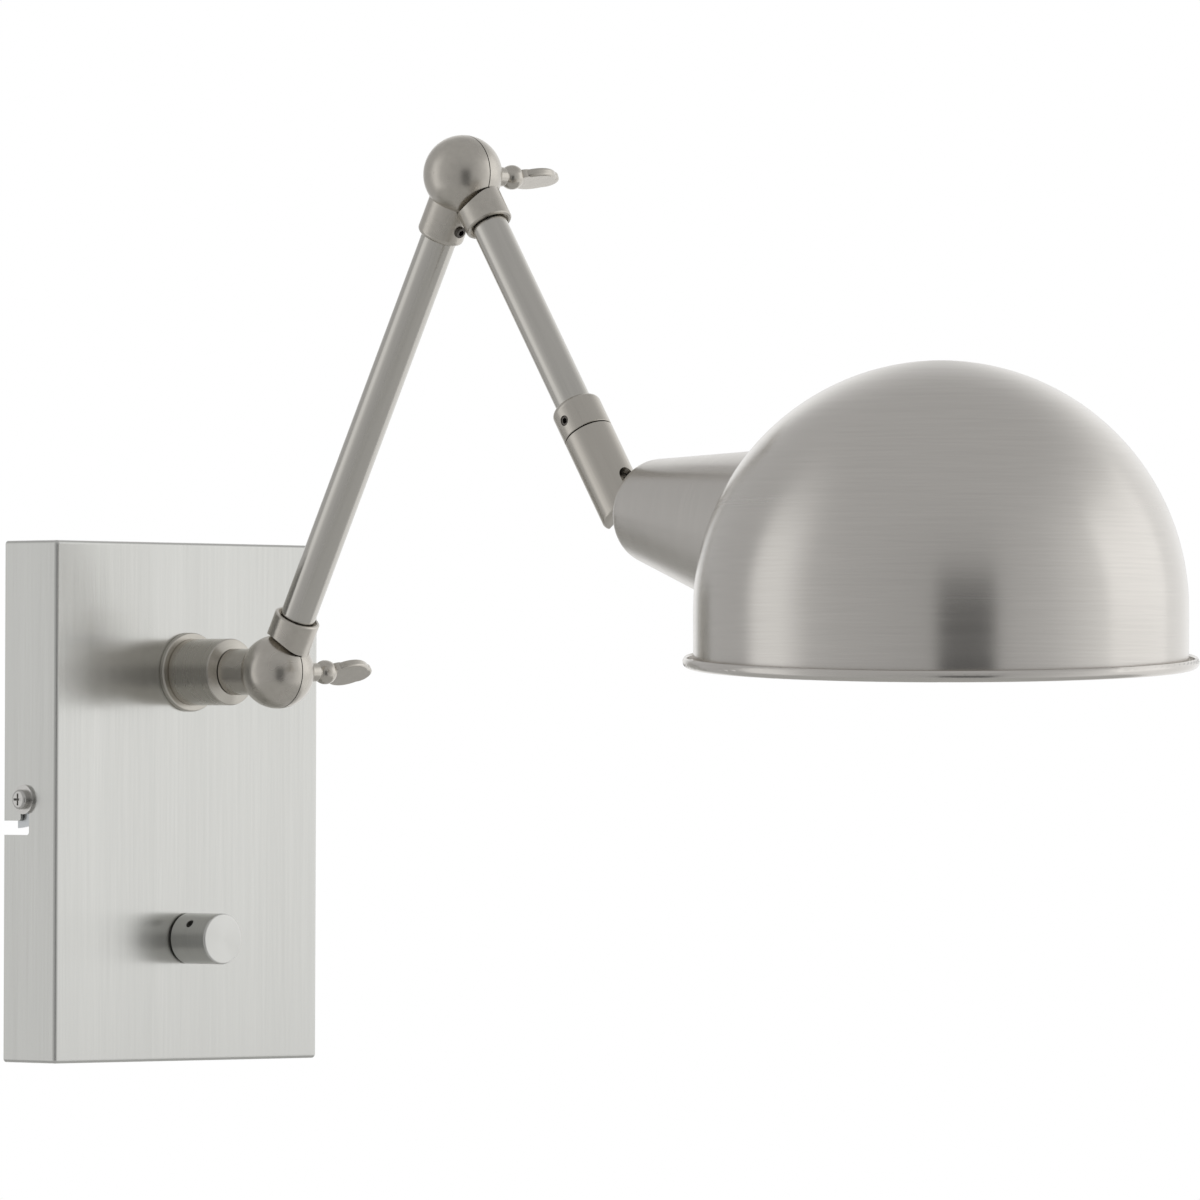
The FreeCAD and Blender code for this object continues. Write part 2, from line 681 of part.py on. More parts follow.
neck_end = d.lower_ball_reach - d.neck_start
groove_front = d.lower_ball_reach - d.barrel_shoulder + d.face_fit
groove_back = groove_front + d.clip_thickness + 0.1
swivel_end = groove_back + 1.2
swivel_knuckle = ball_half("swivel_knuckle", swivel, -1, d.lower_ball_radius, [
    (0, 6), (d.neck_radius, 6), (d.neck_radius, neck_end - 0.2), (d.neck_radius - 0.2, neck_end),
    (d.spigot_radius, neck_end), (d.spigot_radius, groove_front), (d.spigot_groove_radius, groove_front),
    (d.spigot_groove_radius, groove_back), (d.spigot_radius, groove_back), (d.spigot_radius, swivel_end - 0.4),
    (d.spigot_radius - 0.4, swivel_end), (0, swivel_end)],
    [(0, 5.2), (d.nipple_bore, 5.2), (d.nipple_bore, swivel_end + 1), (0, swivel_end + 1)], 0)
finished(swivel_knuckle)
washer_gap = d.neck_start - d.barrel_nose
ring("swivel_washer", post, d.spigot_radius + 0.1, d.neck_radius - 0.6,
     d.barrel_nose + washer_gap * 0.08, d.neck_start - washer_gap * 0.08)
ring("swivel_clip", swivel, d.spigot_groove_radius + 0.05, d.clip_radius, groove_front + 0.05,
     groove_front + 0.05 + d.clip_thickness, angle=318.0)
half_washer = d.friction_washer_thickness / 2
ring("lower_friction_washer", lower_thumb, d.thumb_shank_radius + 0.08, d.ball_boss_radius, -half_washer, half_washer)

lower_floor = d.lower_ball_radius + d.ball_sweep_clearance + 0.5
upper_floor = d.elbow_ball_radius + d.ball_sweep_clearance + 0.5
tube_bore = d.tube_radius - d.tube_wall
tube_fit = d.tube_radius + d.face_fit
finished(ball_half("lower_arm_cap", lower_arm, 1, d.lower_ball_radius, collar(d.lower_collar_radius),
                   collar_bore(lower_floor), 0))
ring("lower_arm_tube", lower_arm, tube_bore, d.tube_radius, lower_floor + 0.05,
     d.lower_arm_length - upper_floor - 0.05)

elbow_knuckle = ball_half("elbow_knuckle", elbow, -1, d.elbow_ball_radius, [
    (0, 6), (d.neck_radius, 6), (d.neck_radius, d.sleeve_length - d.sleeve_round),
    (d.neck_radius - d.sleeve_round, d.sleeve_length, d.sleeve_round, 1), (0, d.sleeve_length)],
    [(0, 5.2), (4.5, 5.2), (4.5, upper_floor), (tube_fit, upper_floor), (tube_fit, d.sleeve_length + 1),
     (0, d.sleeve_length + 1)], 0)
screw_station = 18.2
pocket(elbow_knuckle, "XZ_Plane", [("circle", 0, screw_station, 2 + d.thread_fit)], 10)
finished(elbow_knuckle)
elbow_screw_axis = frame("elbow_screw_frame", elbow, (0, 0, screw_station), [("x", -90)])
set_screw("elbow_set_screw", elbow_screw_axis, size(2.0), tube_fit, d.neck_radius + 1.0, 2.0)
ring("elbow_friction_washer", elbow_thumb, d.thumb_shank_radius + 0.08, d.ball_boss_radius, -half_washer, half_washer)

whole_cap = ball_half("elbow_cap_casting", upper_ball, 1, d.elbow_ball_radius, collar(d.elbow_collar_radius),
                      collar_bore(upper_floor), d.upper_arm_offset)
relief_tool = doc.addObject("Part::Cylinder", "elbow_relief")
relief_tool.setExpression("Radius", (d.neck_radius + 0.25).text)
relief_tool.Height = 40
relief_tool.setExpression("Placement", "elbow_relief_frame.Placement")
upper_cap = doc.addObject("Part::Cut", "upper_arm_cap")
upper_cap.Base = whole_cap
upper_cap.Tool = relief_tool
finished(upper_cap, "upper_arm_cap")


# ---------------------------------------------------------------- thumb screws
def thumb_screw(label, where, radius):
    body = part_body(label, where)
    tip = radius * -1 + d.ball_shell + 1.5
    shank = d.thumb_shank_radius
    bead = d.thumb_bead_radius
    seat = bead + 0.45
    start = root(radius * radius - seat * seat) + d.face_fit
    centre = radius + d.thumb_ball_reach
    big = d.thumb_ball_radius
    dip = root(big * big - shank * shank)
    top = root(big * big - 2.56)
    turn_up(body, [
        (0, tip), (shank - 0.4, tip), (shank, tip + 0.4), (shank, start), (bead - 0.3, start), (bead, start + 0.3),
        (bead, radius + d.thumb_bead_end - 0.5), (bead - 0.5, radius + d.thumb_bead_end, size(0.5), 1),
        (shank, radius + d.thumb_bead_end), (shank, centre - dip), (1.6, centre + top, big, 1), (0, centre + top)])
    pad(body, "XZ_Plane", [("oval", radius + d.paddle_reach, d.paddle_half_width, d.paddle_half_length)],
        d.paddle_thickness, middle=True)
    half = d.paddle_thickness.number / 2
    soften(body, 0.9, lambda p: near(abs(p.y), half) and math.hypot(p.x, p.z - centre.number) > big.number)
    return finished(body)


thumb_screw("lower_thumb_screw", lower_thumb, d.lower_ball_radius)
thumb_screw("elbow_thumb_screw", elbow_thumb, d.elbow_ball_radius)

# ---------------------------------------------------------------- upper arm and head sleeve
joint_sleeve = d.head_joint - d.head_joint_gap / 2
joint_knuckle = d.head_joint + d.head_joint_gap / 2
tube = part_body("upper_arm_tube", upper_arm)
turn_up(tube, box_outline(tube_bore, d.tube_radius, upper_floor + 0.05, joint_sleeve - 0.4))
screw_hole = 1.75 + d.thread_fit
pocket(tube, "YZ_Plane", [("circle", 0, d.head_screw_station, screw_hole)], 10)
finished(tube)
sleeve = part_body("head_sleeve", upper_arm)
sleeve_round = d.head_sleeve_radius - tube_fit
turn_up(sleeve, [
    (tube_fit, d.head_sleeve_start), (d.head_sleeve_radius, d.head_sleeve_start + sleeve_round, sleeve_round, 1),
    (d.head_sleeve_radius, joint_sleeve - 0.2), (d.head_sleeve_radius - 0.2, joint_sleeve), (tube_fit, joint_sleeve)])
pocket(sleeve, "YZ_Plane", [("circle", 0, d.head_screw_station, screw_hole)], 10)
finished(sleeve)
sleeve_screw_axis = frame("sleeve_screw_frame", upper_arm, (0, 0, d.head_screw_station), [("y", -90)])
set_screw("head_sleeve_set_screw", sleeve_screw_axis, size(1.75), d.head_groove_radius + 0.05,
          d.head_sleeve_radius - 0.3, 1.9)

# ---------------------------------------------------------------- head knuckle and hinge
knuckle = part_body("head_knuckle", head_turn)
spigot = tube_bore - d.running_fit
groove_half = 1.9
turn_up(knuckle, [
    (0, d.head_spigot_start), (spigot - 0.4, d.head_spigot_start), (spigot, d.head_spigot_start + 0.4),
    (spigot, d.head_screw_station - groove_half), (d.head_groove_radius, d.head_screw_station - groove_half),
    (d.head_groove_radius, d.head_screw_station + groove_half), (spigot, d.head_screw_station + groove_half),
    (spigot, joint_knuckle), (d.head_sleeve_radius - 0.2, joint_knuckle),
    (d.head_sleeve_radius, joint_knuckle + 0.2), (d.head_sleeve_radius, d.knuckle_end - 1.4),
    (d.head_sleeve_radius - 1.4, d.knuckle_end, size(1.4), 1), (0, d.knuckle_end)])
turn_up(knuckle, [(0, d.head_spigot_start - 1), (2.5, d.head_spigot_start - 1), (2.5, d.knuckle_slot_root + 2),
                  (0, d.knuckle_slot_root + 2)], cut=True)
slot = d.knuckle_slot_width / 2
pocket(knuckle, "XZ_Plane", [[
    (-slot, d.knuckle_end + 1), (-slot, d.knuckle_slot_root + slot), (slot, d.knuckle_slot_root + slot, slot, 1),
    (slot, d.knuckle_end + 1)]], middle=True)
pivot_hole = d.pivot_screw_radius + d.running_fit
pocket(knuckle, "YZ_Plane", [("circle", 0, d.pivot_station, pivot_hole)], 7.3)
pocket(knuckle, "YZ_Plane", [("circle", 0, d.pivot_station, pivot_hole)], 12, reverse=True)
pocket(knuckle, "YZ_Plane", [("circle", 0, d.pivot_station, 3.6)], 6, reverse=True, shift=(0, 0, size(6.0)))
finished(knuckle)

pivot_axis = frame("pivot_frame", head_turn, (0, 0, d.pivot_station), [("y", 90)])
pivot = part_body("head_pivot_screw", pivot_axis)
turn_up(pivot, [(0, -7.1), (d.pivot_screw_radius - 0.4, -7.1), (d.pivot_screw_radius, -6.7),
                (d.pivot_screw_radius, 6.05), (3.5, 6.05), (3.5, 7.2), (3.1, 7.6), (0, 7.6)])
pocket(pivot, "XY_Plane", [box_outline(-4, 4, -0.45, 0.45)], 0.9, shift=(0, 0, size(7.6)))
finished(pivot)

tongue = part_body("hinge_tongue", head)
flange_back = d.cup_rear - 0.95
tongue_seat = d.cup_rear - d.face_fit
pad(tongue, "YZ_Plane", [[
    (-d.tongue_radius, 0), (d.tongue_radius, 0, d.tongue_radius, 1), (d.tongue_radius, flange_back + 0.3),
    (-d.tongue_radius, flange_back + 0.3)]], d.tongue_thickness, middle=True)
stud_end = 28.0
turn_up(tongue, [(0, flange_back), (6.2, flange_back), (6.2, tongue_seat), (d.stud_radius, tongue_seat),
                 (d.stud_radius, stud_end - 0.4), (d.stud_radius - 0.4, stud_end), (0, stud_end)])
pocket(tongue, "YZ_Plane", [("circle", 0, 0, pivot_hole)], middle=True)
turn_up(tongue, box_outline(-1.6, 1.6, 4.2, 6.1), "H_Axis", cut=True)
turn_up(tongue, [(0, 5.0), (1.6, 5.0), (1.6, 12.0), (2.2, 13.0), (2.2, stud_end + 1), (0, stud_end + 1)], cut=True)
finished(tongue)
cup_floor = d.cup_rear + d.cup_sheet
hex_nut("tongue_nut", head, 13.0, d.stud_radius + d.thread_fit, cup_floor + 0.05, cup_floor + 5)

# ---------------------------------------------------------------- cup
half_turn = (90 - d.cup_half_angle) / 2
tangent = d.cup_rear_round * sine(half_turn) / cosine(half_turn)
slope = sine(d.cup_half_angle) / cosine(d.cup_half_angle)
flat = d.cup_corner_radius - tangent
cone_radius = d.cup_corner_radius + tangent * sine(d.cup_half_angle)
cone_start = d.cup_rear + tangent * cosine(d.cup_half_angle)
mouth = d.shade_reach - d.shade_radius * 0.8
mouth_radius = d.cup_corner_radius + (mouth - d.cup_rear) * slope
stud_hole = d.stud_radius + 0.1
cup = part_body("cup_spinning", head)
turn_up(cup, [
    (stud_hole, d.cup_rear), (flat, d.cup_rear), (cone_radius, cone_start, d.cup_rear_round, 1),
    (mouth_radius, mouth), (mouth_radius - d.cup_sheet / cosine(d.cup_half_angle), mouth),
    (cone_radius - d.cup_sheet * cosine(d.cup_half_angle), cone_start + d.cup_sheet * sine(d.cup_half_angle)),
    (flat, cup_floor, d.cup_rear_round - d.cup_sheet, -1), (stud_hole, cup_floor)])
cup_trim = doc.addObject("Part::Sphere", "cup_trim")
cup_trim.setExpression("Radius", (d.shade_radius + d.face_fit * 3).text)
cup_trim.setExpression("Placement", "dome_frame.Placement")
socket_cup = doc.addObject("Part::Cut", "socket_cup")
socket_cup.Base = cup
socket_cup.Tool = cup_trim
finished(socket_cup, "socket_cup")

# ---------------------------------------------------------------- lampholder
holder_fit = d.shell_bore + d.shell_sheet + d.face_fit
shell_top = d.holder_mouth - 1
shell_floor = shell_top - d.shell_depth
holder = part_body("lampholder_body", head)
flange_end = d.seat_station - d.face_fit
turn_up(holder, [
    (d.stud_radius + d.thread_fit, 22), (13, 22), (15, 25), (15, 52), (d.holder_radius, 57),
    (d.holder_radius, flange_end - 3), (d.holder_radius + 3, flange_end - 3), (d.holder_radius + 3, flange_end),
    (d.holder_radius, flange_end), (d.holder_radius, d.holder_mouth), (holder_fit + 0.5, d.holder_mouth),
    (holder_fit, d.holder_mouth - 0.5), (holder_fit, shell_floor), (2.95, shell_floor), (2.95, shell_floor - 7),
    (11, shell_floor - 7), (11, stud_end + 2), (d.stud_radius + d.thread_fit, stud_end + 2)])
finished(holder)
screw_shell = part_body("lampholder_screw_shell", head)
shell_outer = d.shell_bore + d.shell_sheet
shell_foot = shell_floor + d.face_fit
bend = d.shell_sheet * math.tan(math.radians(22.5))
turn_up(screw_shell, [
    (6, shell_foot), (shell_outer - d.shell_shoulder, shell_foot), (shell_outer, shell_foot + d.shell_shoulder),
    (shell_outer, shell_top), (d.shell_bore, shell_top), (d.shell_bore, shell_foot + d.shell_shoulder + bend),
    (shell_outer - d.shell_shoulder - bend, shell_foot + d.shell_sheet), (6, shell_foot + d.shell_sheet)])
finished(screw_shell)
contact = part_body("lampholder_contact", head)
turn_up(contact, [(0, shell_floor - 8), (2.9, shell_floor - 8), (2.9, shell_foot), (4.4, shell_foot),
                  (4.4, shell_floor + 0.9), (2.4, shell_floor + 2.2), (0, shell_floor + 2.2)])
finished(contact)
ring_start = d.seat_station + d.shade_sheet + d.face_fit
shade_ring = part_body("shade_ring", head)
turn_up(shade_ring, [
    (d.holder_radius + d.thread_fit, ring_start), (d.seat_radius - 0.9, ring_start),
    (d.seat_radius - 0.9, ring_start + 4.2), (d.seat_radius - 1.5, ring_start + 4.8),
    (d.holder_radius + d.thread_fit, ring_start + 4.8)])
grips = [("circle", 24.3 * math.cos(math.radians(30 * k)), 24.3 * math.sin(math.radians(30 * k)), 2.2)
         for k in range(12)]
pocket(shade_ring, "XY_Plane", grips, 5, shift=(0, 0, ring_start + 4.9))
finished(shade_ring)

# ---------------------------------------------------------------- shade: spun dome with a pressed seat
inside = d.shade_radius - d.shade_sheet
roll = d.rim_roll_radius
roll_inner = roll - d.shade_sheet
roll_centre = inside + roll
skirt = -d.skirt_length
diagonal = math.sqrt(0.5)
spun = part_body("spun_dome", dome)
turn_up(spun, [
    (inside, skirt, roll, -1), (inside, 0), (0, inside, inside, 1), (0, d.shade_radius),
    (d.shade_radius, 0, d.shade_radius, -1), (d.shade_radius, skirt),
    (roll_centre, skirt - roll_inner, roll_inner, 1), (roll_centre + roll_inner, skirt, roll_inner, 1),
    (roll_centre + roll_inner * diagonal, skirt + roll_inner * diagonal, roll_inner, 1),
    (roll_centre + roll * diagonal, skirt + roll * diagonal), (roll_centre + roll, skirt, roll, -1),
    (roll_centre, skirt - roll, roll, -1)])
seat_frame = frame("seat_frame", head, (0, 0, d.seat_station - 20), [])
opening = doc.addObject("Part::Cylinder", "seat_opening")
opening.setExpression("Radius", d.seat_radius.text)
opening.Height = 40
opening.setExpression("Placement", "seat_frame.Placement")
opened = doc.addObject("Part::Cut", "opened_dome")
opened.Base = spun
opened.Tool = opening
seat = part_body("pressed_seat", head)
seat_face = d.seat_station
seat_back = d.seat_station + d.shade_sheet
turn_up(seat, [
    (d.holder_radius + 0.5, seat_face), (d.seat_radius - d.shade_sheet, seat_face),
    (d.seat_radius - d.shade_sheet, seat_face - 16), (d.seat_radius, seat_face - 16), (d.seat_radius, seat_back),
    (d.holder_radius + 0.5, seat_back)])
envelope = doc.addObject("Part::Sphere", "shade_envelope")
envelope.setExpression("Radius", d.shade_radius.text)
envelope.setExpression("Placement", "dome_frame.Placement")
trimmed = doc.addObject("Part::Common", "trimmed_seat")
trimmed.Base = seat
trimmed.Tool = envelope
shade = doc.addObject("Part::Fuse", "shade")
shade.Base = opened
shade.Tool = trimmed
finished(shade, "shade")

# ---------------------------------------------------------------- check and write
doc.recompute()
faulty = [thing.Label for thing in doc.Objects if "Invalid" in thing.State or "Error" in thing.State]
for thing in NODES:
    shape = thing.Shape
    if shape.isNull() or not shape.isValid() or not shape.Solids:
        faulty.append(thing.Label + " shape")
if faulty:
    raise RuntimeError("not built: " + ", ".join(faulty))
for thing in NODES:
    thing.Shape.exportStep("parts/%s.step" % thing.Label)
print(len(NODES), "nodes")
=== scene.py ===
import math

import bpy
from mathutils import Matrix, Vector

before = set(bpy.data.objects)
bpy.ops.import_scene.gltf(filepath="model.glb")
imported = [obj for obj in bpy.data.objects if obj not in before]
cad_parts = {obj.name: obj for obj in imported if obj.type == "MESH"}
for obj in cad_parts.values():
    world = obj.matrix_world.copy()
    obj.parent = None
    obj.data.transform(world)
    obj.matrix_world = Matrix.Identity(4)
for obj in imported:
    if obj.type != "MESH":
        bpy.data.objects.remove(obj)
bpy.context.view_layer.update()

# ---- The view: a long lens from the front left, a little below the lamp's middle, as a catalogue
# picture is taken.
scene = bpy.context.scene
view_turn = math.radians(-44.615)
view_rise = math.radians(-0.876)
view_roll = math.radians(0.187)
view_distance = 3.8441
view_across = 0.16508
view_height = 0.07243
picture_side = 1200
pixels_per_metre = 2800
sensor = 36
farthest_seen = 50
back = Vector((math.sin(view_turn) * math.cos(view_rise), -math.cos(view_turn) * math.cos(view_rise),
               math.sin(view_rise)))
right = Vector((math.cos(view_turn), math.sin(view_turn), 0))
up = back.cross(right)
camera_right = right * math.cos(view_roll) + up * math.sin(view_roll)
camera_up = up * math.cos(view_roll) - right * math.sin(view_roll)
camera_place = right * view_across + Vector((0, 0, view_height)) + back * view_distance
lens = bpy.data.cameras.new("picture_camera")
lens.sensor_width = sensor
lens.lens = pixels_per_metre * view_distance / picture_side * sensor
lens.clip_end = farthest_seen
camera = bpy.data.objects.new("picture_camera", lens)
scene.collection.objects.link(camera)
turn = Matrix((camera_right, camera_up, back)).transposed().to_4x4()
camera.matrix_world = Matrix.Translation(camera_place) @ turn
scene.camera = camera
scene.view_settings.view_transform = "Standard"

# ---- The floor: a plain pale board, as far below the lamp as a bedroom floor is, and so out of
# the picture. It gives the undersides their soft light.
floor_half = 1.9
floor_level = -1.3
floor_tone = (0.80, 0.80, 0.79)
floor_dullness = 0.8
floor_mesh = bpy.data.meshes.new("floor")
floor_mesh.from_pydata([(-floor_half, -floor_half, floor_level), (floor_half, -floor_half, floor_level),
                        (floor_half, floor_half, floor_level), (-floor_half, floor_half, floor_level)],
                       [], [(0, 1, 2, 3)])
floor = bpy.data.objects.new("floor", floor_mesh)
scene.collection.objects.link(floor)


def new_material(name):
    """A node material, its tree and its Principled shader."""
    made = bpy.data.materials.new(name)
    made.use_nodes = True
    return made, made.node_tree, made.node_tree.nodes["Principled BSDF"]


floor_paint, _, shader = new_material("floor_paint")
shader.inputs["Base Color"].default_value = (*floor_tone, 1)
shader.inputs["Roughness"].default_value = floor_dullness
floor_mesh.materials.append(floor_paint)

# ---- The studio: white behind the lamp and along its right, grey on its left but for one narrow
# window, and an unlit grey with one dark doorway where the camera stands. Each shade is given by its
# bearing in degrees, 0 being towards the camera and 90 to its right.
ahead_shades = (
    (-180, 1.0), (-165, 1.0), (-154, 0.53), (-106, 0.49), (-98, 0.90), (-82, 0.90), (-66, 0.56),
    (-50, 0.50), (-12, 0.44), (22, 0.46), (50, 0.58), (72, 0.78), (88, 0.93), (140, 0.95), (160, 1.0),
    (180, 1.0))
overhead_shade = 0.50
overhead_from, overhead_to = 0.30, 0.85
doorway_from, doorway_to, doorway_shade = -3, 23, 0.13
doorway_blur_out, doorway_blur_in = 3, 2
lintel_from, lintel_to = 0.10, 0.34
room = bpy.data.worlds.new("studio_room")
scene.world = room
room.use_nodes = True
nodes, links = room.node_tree.nodes, room.node_tree.links
direction = nodes.new("ShaderNodeTexCoord").outputs["Generated"]


def along(way):
    """How far a direction in the room points along a given way."""
    node = nodes.new("ShaderNodeVectorMath")
    node.operation = "DOT_PRODUCT"
    node.inputs[1].default_value = way
    links.new(direction, node.inputs[0])
    return node.outputs["Value"]


level_back = Vector((back.x, back.y, 0)).normalized()
bearing = nodes.new("ShaderNodeMath")
bearing.operation = "ARCTAN2"
links.new(along(right), bearing.inputs[0])
links.new(along(level_back), bearing.inputs[1])
turned = nodes.new("ShaderNodeMapRange")
turned.inputs["From Min"].default_value = -math.pi
turned.inputs["From Max"].default_value = math.pi
links.new(bearing.outputs[0], turned.inputs["Value"])


def ramp_of(stops):
    """A ramp of greys from bearings in degrees."""
    node = nodes.new("ShaderNodeValToRGB")
    marks = node.color_ramp.elements
    while len(marks) < len(stops):
        marks.new(0.5)
    for mark, (angle, grey) in zip(marks, stops):
        mark.position = (angle + 180) / 360
        mark.color = (grey, grey, grey, 1)
    links.new(turned.outputs["Result"], node.inputs["Fac"])
    return node.outputs["Color"]


def eased(value, low, high, flip=False):
    """A smooth step from 0 to 1 between two heights, or from 1 to 0."""
    node = nodes.new("ShaderNodeMapRange")
    node.interpolation_type = "SMOOTHSTEP"
    node.inputs["From Min"].default_value = low
    node.inputs["From Max"].default_value = high
    node.inputs["To Min"].default_value = 1.0 if flip else 0.0
    node.inputs["To Max"].default_value = 0.0 if flip else 1.0
    links.new(value, node.inputs["Value"])
    return node.outputs["Result"]


def mixed(factor, first, second):
    """Two colours mixed by a factor; either may be a plain grey."""
    node = nodes.new("ShaderNodeMix")
    node.data_type = "RGBA"
    links.new(factor, node.inputs["Factor"])
    for socket, value in (("A", first), ("B", second)):
        if isinstance(value, float):
            node.inputs[socket].default_value = (value, value, value, 1)
        else:
            links.new(value, node.inputs[socket])
    return node.outputs["Result"]


height = along((0, 0, 1))
ahead = ramp_of(ahead_shades)
in_doorway = ramp_of((
    (-180, 0.0), (doorway_from - doorway_blur_out, 0.0), (doorway_from + doorway_blur_in, 1.0),
    (doorway_to - doorway_blur_in, 1.0), (doorway_to + doorway_blur_out, 0.0), (180, 0.0)))
below_lintel = nodes.new("ShaderNodeMath")
below_lintel.operation = "MULTIPLY"
links.new(in_doorway, below_lintel.inputs[0])
links.new(eased(height, lintel_from, lintel_to, flip=True), below_lintel.inputs[1])
with_doorway = mixed(below_lintel.outputs[0], ahead, doorway_shade)
whole_room = mixed(eased(height, overhead_from, overhead_to), with_doorway, overhead_shade)
links.new(whole_room, nodes["Background"].inputs["Color"])
nodes["Background"].inputs["Strength"].default_value = 1.0

window_width, window_height = 2.6, 2.2
window_power = 4
window_place = (2.6, -1.9, 0.9)
lamp_middle = Vector((0, -0.25, 0.05))
window = bpy.data.lights.new("right_window", "AREA")
window.shape = "RECTANGLE"
window.size, window.size_y = window_width, window_height
window.energy = window_power
window_lamp = bpy.data.objects.new("right_window", window)
scene.collection.objects.link(window_lamp)
window_lamp.location = window_place
window_aim = lamp_middle - window_lamp.location
window_lamp.rotation_euler = window_aim.to_track_quat("-Z", "Y").to_euler()

# ---- Canopy: an open-backed box drawn from sheet steel, nickel plated and brushed upright, then
# lacquered. The scratches are one shader group, which every brushed piece below uses: fine hairs,
# streaks that are coarser, and clouds of wear that are coarser still.
streak_scale, cloud_scale = 0.17, 0.02
streak_tint = 0.25
cloud_wear, streak_wear = 0.10, 0.08
noise_roughness = 0.65
scratch_depth = 0.0004
quarter_turn = 0.25
grain =bpy.data.node_groups.new("brushed_grain", "ShaderNodeTree")
for name, kind in (("Vector", "NodeSocketVector"), ("Fine", "NodeSocketFloat"), ("Tone", "NodeSocketColor"),
                   ("Dull", "NodeSocketFloat"), ("Contrast", "NodeSocketFloat")):
    grain.interface.new_socket(name, in_out="INPUT", socket_type=kind)
for name, kind in (("Color", "NodeSocketColor"), ("Roughness", "NodeSocketFloat"),
                   ("Height", "NodeSocketFloat")):
    grain.interface.new_socket(name, in_out="OUTPUT", socket_type=kind)
nodes, links = grain.nodes, grain.links
entry = nodes.new("NodeGroupInput")
leave = nodes.new("NodeGroupOutput")


def grain_math(operation, first, second, third=None):
    """One sum in the scratch group; each term is a socket or a number."""
    node = nodes.new("ShaderNodeMath")
    node.operation = operation
    for socket, value in zip(node.inputs, (first, second, third)):
        if value is None:
            continue
        if isinstance(value, (int, float)):
            socket.default_value = value
        else:
            links.new(value, socket)
    return node.outputs[0]


def scratches(detail, scale):
    """A noise along the brushing at one scale, from about -0.5 to 0.5."""
    node = nodes.new("ShaderNodeTexNoise")
    node.inputs["Detail"].default_value = detail
    node.inputs["Roughness"].default_value = noise_roughness
    links.new(entry.outputs["Vector"], node.inputs["Vector"])
    links.new(scale, node.inputs["Scale"])
    return grain_math("SUBTRACT", node.outputs["Fac"], 0.5)


hair = scratches(3, entry.outputs["Fine"])
streak = scratches(2, grain_math("MULTIPLY", entry.outputs["Fine"], streak_scale))
cloud = scratches(1, grain_math("MULTIPLY", entry.outputs["Fine"], cloud_scale))
both = grain_math("ADD", hair, grain_math("MULTIPLY", streak, streak_tint))
strength = grain_math("MULTIPLY_ADD", both, entry.outputs["Contrast"], 1.0)
tint = nodes.new("ShaderNodeVectorMath")
tint.operation = "SCALE"
links.new(entry.outputs["Tone"], tint.inputs[0])
links.new(strength, tint.inputs["Scale"])
links.new(tint.outputs["Vector"], leave.inputs["Color"])
worn = grain_math("ADD", grain_math("MULTIPLY", cloud, cloud_wear),
                  grain_math("MULTIPLY", streak, streak_wear))
links.new(grain_math("ADD", entry.outputs["Dull"], worn), leave.inputs["Roughness"])
links.new(hair, leave.inputs["Height"])


def brushed(name, lie, stretch, fine, tone, dull, contrast=0.16, relief=0.04, shine=None):
    """A brushed metal. The pattern is turned to lie along the piece and stretched along the brushing;
    shine is the axis that the piece was turned about, how far its highlights are drawn out, and
    whether they are drawn along that axis."""
    made, tree, shader = new_material(name)
    place = tree.nodes.new("ShaderNodeTexCoord")
    mapping = tree.nodes.new("ShaderNodeMapping")
    mapping.vector_type = "TEXTURE"
    mapping.inputs["Rotation"].default_value = lie
    tree.links.new(place.outputs["Object"], mapping.inputs["Vector"])
    drawn = tree.nodes.new("ShaderNodeVectorMath")
    drawn.operation = "MULTIPLY"
    drawn.inputs[1].default_value = stretch
    tree.links.new(mapping.outputs["Vector"], drawn.inputs[0])
    group = tree.nodes.new("ShaderNodeGroup")
    group.node_tree = grain
    group.inputs["Fine"].default_value = fine
    group.inputs["Tone"].default_value = (*tone, 1)
    group.inputs["Dull"].default_value = dull
    group.inputs["Contrast"].default_value = contrast
    tree.links.new(drawn.outputs["Vector"], group.inputs["Vector"])
    bump = tree.nodes.new("ShaderNodeBump")
    bump.inputs["Strength"].default_value = relief
    bump.inputs["Distance"].default_value = scratch_depth
    tree.links.new(group.outputs["Height"], bump.inputs["Height"])
    tree.links.new(bump.outputs["Normal"], shader.inputs["Normal"])
    tree.links.new(group.outputs["Color"], shader.inputs["Base Color"])
    tree.links.new(group.outputs["Roughness"], shader.inputs["Roughness"])
    shader.inputs["Metallic"].default_value = 1.0
    if shine:
        axis, amount, drawn_along_axis = shine
        tangent = tree.nodes.new("ShaderNodeTangent")
        tangent.direction_type = "RADIAL"
        tangent.axis = axis
        tree.links.new(tangent.outputs["Tangent"], shader.inputs["Tangent"])
        shader.inputs["Anisotropic"].default_value = amount
        shader.inputs["Anisotropic Rotation"].default_value = quarter_turn if drawn_along_axis else 0.0
    return made


def finish(material, *names):
    """The material goes on the CAD pieces of these names, which keep their shape."""
    for name in names:
        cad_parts[name].data.materials.clear()
        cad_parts[name].data.materials.append(material)


no_turn = (0, 0, 0)
upright_lines = (1, 1, 0.015)
plate_tone = (0.66, 0.66, 0.635)
finish(brushed("canopy_nickel", no_turn, upright_lines, fine=1500, tone=plate_tone, dull=0.24, contrast=0.12,
               shine=("Z", 0.88, False)), "canopy")

# ---- Mounting strap: a strap bent from zinc plated steel, screwed to the wall box, with two tapped
# ears that the canopy hangs on.
no_lines = (1, 1, 1)
zinc_tone = (0.60, 0.62, 0.63)
zinc = brushed("zinc_plate", no_turn, no_lines, fine=260, tone=zinc_tone, dull=0.34)
finish(zinc, "mounting_bracket")

